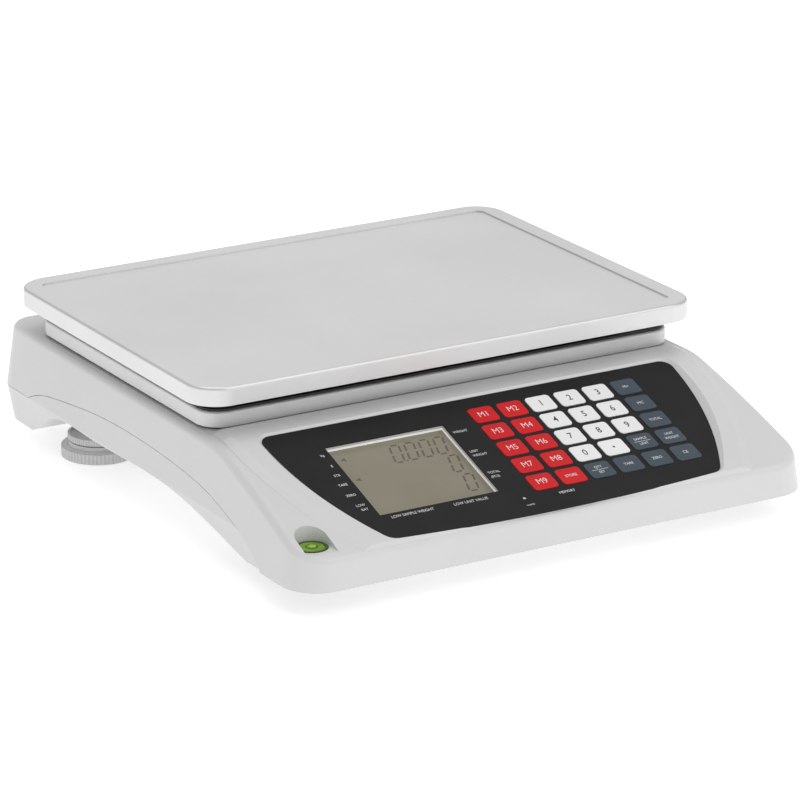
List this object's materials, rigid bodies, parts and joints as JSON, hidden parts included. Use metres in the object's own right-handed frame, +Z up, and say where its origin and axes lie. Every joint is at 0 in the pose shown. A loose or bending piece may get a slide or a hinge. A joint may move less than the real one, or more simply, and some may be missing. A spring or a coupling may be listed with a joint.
{
  "type": "counting scale",
  "caption": "Low bench counting scale with a removable steel pan, sloping keypad and display panel, bubble level and screw feet.",
  "frame": {"origin": "on the table under the middle of the scale's bounding box", "axes": "+Z up, -Y towards the user and the keypad, +X to the user's right"},
  "size_m": [0.335, 0.3768, 0.098],
  "materials": {
    "housing": "satin light grey moulded ABS",
    "foot_plastic": "light grey moulded plastic",
    "pan_steel": "fine brushed stainless sheet",
    "tray_steel": "satin silver sheet",
    "black_plastic": "black moulded plastic",
    "rubber_pads": "soft black rubber",
    "load_cell_alloy": "machined aluminium alloy",
    "fastener_steel": "zinc plated steel",
    "circuit_board": "green solder mask",
    "panel_film": "fine textured charcoal film",
    "lcd_glass": "grey reflective display glass",
    "lcd_frame": "white moulded frame",
    "lcd_backlight": "warm grey diffuser",
    "led_lens": "tinted clear lens",
    "level_ring": "dark moulded ring",
    "level_fluid": "green tinted clear vial",
    "battery_case": "dark grey case",
    "key_red": "red elastomer key",
    "key_white": "white elastomer key",
    "key_slate": "slate grey elastomer key"
  },
  "bodies": {
    "base": {"upper_housing": "housing", "lower_housing": "housing", "housing_screws": "fastener_steel", "panel_overlay": "panel_film", "main_board": "circuit_board", "key_domes": "fastener_steel", "lcd_glass": "lcd_glass", "lcd_frame": "lcd_frame", "lcd_backlight": "lcd_backlight", "status_led": "led_lens", "level_cup": "level_ring", "level_vial": "level_fluid", "load_cell": "load_cell_alloy", "load_cell_bolts": "fastener_steel", "overload_stop_screws": "fastener_steel", "power_switch_body": "black_plastic", "dc_socket": "black_plastic", "charger_board": "circuit_board", "battery": "battery_case"},
    "platform": {"pan_tray": "tray_steel", "tray_support": "black_plastic", "pan_rest_pads": "rubber_pads", "load_cell_riser": "load_cell_alloy", "tray_bolts": "fastener_steel"},
    "pan": {"weighing_pan": "pan_steel"},
    "foot_front_left": {"foot_front_left": "foot_plastic"},
    "foot_front_right": {"foot_front_right": "foot_plastic"},
    "foot_rear_left": {"foot_rear_left": "foot_plastic"},
    "foot_rear_right": {"foot_rear_right": "foot_plastic"},
    "power_rocker": {"power_rocker": "black_plastic"},
    "key_m1": {"key_m1": "key_red"},
    "key_m2": {"key_m2": "key_red"},
    "key_1": {"key_1": "key_white"},
    "key_2": {"key_2": "key_white"},
    "key_3": {"key_3": "key_white"},
    "key_m_plus": {"key_m_plus": "key_slate"},
    "key_m3": {"key_m3": "key_red"},
    "key_m4": {"key_m4": "key_red"},
    "key_4": {"key_4": "key_white"},
    "key_5": {"key_5": "key_white"},
    "key_6": {"key_6": "key_white"},
    "key_mc": {"key_mc": "key_slate"},
    "key_m5": {"key_m5": "key_red"},
    "key_m6": {"key_m6": "key_red"},
    "key_7": {"key_7": "key_white"},
    "key_8": {"key_8": "key_white"},
    "key_9": {"key_9": "key_white"},
    "key_total": {"key_total": "key_slate"},
    "key_m7": {"key_m7": "key_red"},
    "key_m8": {"key_m8": "key_red"},
    "key_0": {"key_0": "key_white"},
    "key_point": {"key_point": "key_white"},
    "key_sample": {"key_sample": "key_slate"},
    "key_unit_weight": {"key_unit_weight": "key_slate"},
    "key_m9": {"key_m9": "key_red"},
    "key_store": {"key_store": "key_red"},
    "key_quantity": {"key_quantity": "key_slate"},
    "key_tare": {"key_tare": "key_slate"},
    "key_zero": {"key_zero": "key_slate"},
    "key_clear": {"key_clear": "key_slate"}
  },
  "joints": [
    {"name": "platform_deflection", "type": "slide", "parent": "base", "child": "platform", "axis": [0, 0, 1], "range_m": [-0.0005, 0], "stiffness_N_per_m": 200000, "springref_m": 0.00016, "deforming": ["load_cell"]},
    {"name": "pan_lift_off", "type": "slide", "parent": "platform", "child": "pan", "axis": [0, 0, 1], "range_m": [0, 0.03]},
    {"name": "foot_front_left_height", "type": "slide", "parent": "base", "child": "foot_front_left", "axis": [0, 0, -1], "range_m": [0, 0.01]},
    {"name": "foot_front_right_height", "type": "slide", "parent": "base", "child": "foot_front_right", "axis": [0, 0, -1], "range_m": [0, 0.01]},
    {"name": "foot_rear_left_height", "type": "slide", "parent": "base", "child": "foot_rear_left", "axis": [0, 0, -1], "range_m": [0, 0.01]},
    {"name": "foot_rear_right_height", "type": "slide", "parent": "base", "child": "foot_rear_right", "axis": [0, 0, -1], "range_m": [0, 0.01]},
    {"name": "power_rocker_tilt", "type": "hinge", "parent": "base", "child": "power_rocker", "pos_m": [0.084, 0.181, 0.052], "axis": [0, 0, 1], "range_deg": [0, 20]},
    {"name": "key_m1_press", "type": "slide", "parent": "base", "child": "key_m1", "axis": [0, 0.3206, -0.9472], "range_m": [0, 0.0005], "stiffness_N_per_m": 1500, "springref_m": -0.0003},
    {"name": "key_m2_press", "type": "slide", "parent": "base", "child": "key_m2", "axis": [0, 0.3206, -0.9472], "range_m": [0, 0.0005], "stiffness_N_per_m": 1500, "springref_m": -0.0003},
    {"name": "key_1_press", "type": "slide", "parent": "base", "child": "key_1", "axis": [0, 0.3206, -0.9472], "range_m": [0, 0.0005], "stiffness_N_per_m": 1500, "springref_m": -0.0003},
    {"name": "key_2_press", "type": "slide", "parent": "base", "child": "key_2", "axis": [0, 0.3206, -0.9472], "range_m": [0, 0.0005], "stiffness_N_per_m": 1500, "springref_m": -0.0003},
    {"name": "key_3_press", "type": "slide", "parent": "base", "child": "key_3", "axis": [0, 0.3206, -0.9472], "range_m": [0, 0.0005], "stiffness_N_per_m": 1500, "springref_m": -0.0003},
    {"name": "key_m_plus_press", "type": "slide", "parent": "base", "child": "key_m_plus", "axis": [0, 0.3206, -0.9472], "range_m": [0, 0.0005], "stiffness_N_per_m": 1500, "springref_m": -0.0003},
    {"name": "key_m3_press", "type": "slide", "parent": "base", "child": "key_m3", "axis": [0, 0.3206, -0.9472], "range_m": [0, 0.0005], "stiffness_N_per_m": 1500, "springref_m": -0.0003},
    {"name": "key_m4_press", "type": "slide", "parent": "base", "child": "key_m4", "axis": [0, 0.3206, -0.9472], "range_m": [0, 0.0005], "stiffness_N_per_m": 1500, "springref_m": -0.0003},
    {"name": "key_4_press", "type": "slide", "parent": "base", "child": "key_4", "axis": [0, 0.3206, -0.9472], "range_m": [0, 0.0005], "stiffness_N_per_m": 1500, "springref_m": -0.0003},
    {"name": "key_5_press", "type": "slide", "parent": "base", "child": "key_5", "axis": [0, 0.3206, -0.9472], "range_m": [0, 0.0005], "stiffness_N_per_m": 1500, "springref_m": -0.0003},
    {"name": "key_6_press", "type": "slide", "parent": "base", "child": "key_6", "axis": [0, 0.3206, -0.9472], "range_m": [0, 0.0005], "stiffness_N_per_m": 1500, "springref_m": -0.0003},
    {"name": "key_mc_press", "type": "slide", "parent": "base", "child": "key_mc", "axis": [0, 0.3206, -0.9472], "range_m": [0, 0.0005], "stiffness_N_per_m": 1500, "springref_m": -0.0003},
    {"name": "key_m5_press", "type": "slide", "parent": "base", "child": "key_m5", "axis": [0, 0.3206, -0.9472], "range_m": [0, 0.0005], "stiffness_N_per_m": 1500, "springref_m": -0.0003},
    {"name": "key_m6_press", "type": "slide", "parent": "base", "child": "key_m6", "axis": [0, 0.3206, -0.9472], "range_m": [0, 0.0005], "stiffness_N_per_m": 1500, "springref_m": -0.0003},
    {"name": "key_7_press", "type": "slide", "parent": "base", "child": "key_7", "axis": [0, 0.3206, -0.9472], "range_m": [0, 0.0005], "stiffness_N_per_m": 1500, "springref_m": -0.0003},
    {"name": "key_8_press", "type": "slide", "parent": "base", "child": "key_8", "axis": [0, 0.3206, -0.9472], "range_m": [0, 0.0005], "stiffness_N_per_m": 1500, "springref_m": -0.0003},
    {"name": "key_9_press", "type": "slide", "parent": "base", "child": "key_9", "axis": [0, 0.3206, -0.9472], "range_m": [0, 0.0005], "stiffness_N_per_m": 1500, "springref_m": -0.0003},
    {"name": "key_total_press", "type": "slide", "parent": "base", "child": "key_total", "axis": [0, 0.3206, -0.9472], "range_m": [0, 0.0005], "stiffness_N_per_m": 1500, "springref_m": -0.0003},
    {"name": "key_m7_press", "type": "slide", "parent": "base", "child": "key_m7", "axis": [0, 0.3206, -0.9472], "range_m": [0, 0.0005], "stiffness_N_per_m": 1500, "springref_m": -0.0003},
    {"name": "key_m8_press", "type": "slide", "parent": "base", "child": "key_m8", "axis": [0, 0.3206, -0.9472], "range_m": [0, 0.0005], "stiffness_N_per_m": 1500, "springref_m": -0.0003},
    {"name": "key_0_press", "type": "slide", "parent": "base", "child": "key_0", "axis": [0, 0.3206, -0.9472], "range_m": [0, 0.0005], "stiffness_N_per_m": 1500, "springref_m": -0.0003},
    {"name": "key_point_press", "type": "slide", "parent": "base", "child": "key_point", "axis": [0, 0.3206, -0.9472], "range_m": [0, 0.0005], "stiffness_N_per_m": 1500, "springref_m": -0.0003},
    {"name": "key_sample_press", "type": "slide", "parent": "base", "child": "key_sample", "axis": [0, 0.3206, -0.9472], "range_m": [0, 0.0005], "stiffness_N_per_m": 1500, "springref_m": -0.0003},
    {"name": "key_unit_weight_press", "type": "slide", "parent": "base", "child": "key_unit_weight", "axis": [0, 0.3206, -0.9472], "range_m": [0, 0.0005], "stiffness_N_per_m": 1500, "springref_m": -0.0003},
    {"name": "key_m9_press", "type": "slide", "parent": "base", "child": "key_m9", "axis": [0, 0.3206, -0.9472], "range_m": [0, 0.0005], "stiffness_N_per_m": 1500, "springref_m": -0.0003},
    {"name": "key_store_press", "type": "slide", "parent": "base", "child": "key_store", "axis": [0, 0.3206, -0.9472], "range_m": [0, 0.0005], "stiffness_N_per_m": 1500, "springref_m": -0.0003},
    {"name": "key_quantity_press", "type": "slide", "parent": "base", "child": "key_quantity", "axis": [0, 0.3206, -0.9472], "range_m": [0, 0.0005], "stiffness_N_per_m": 1500, "springref_m": -0.0003},
    {"name": "key_tare_press", "type": "slide", "parent": "base", "child": "key_tare", "axis": [0, 0.3206, -0.9472], "range_m": [0, 0.0005], "stiffness_N_per_m": 1500, "springref_m": -0.0003},
    {"name": "key_zero_press", "type": "slide", "parent": "base", "child": "key_zero", "axis": [0, 0.3206, -0.9472], "range_m": [0, 0.0005], "stiffness_N_per_m": 1500, "springref_m": -0.0003},
    {"name": "key_clear_press", "type": "slide", "parent": "base", "child": "key_clear", "axis": [0, 0.3206, -0.9472], "range_m": [0, 0.0005], "stiffness_N_per_m": 1500, "springref_m": -0.0003}
  ]
}
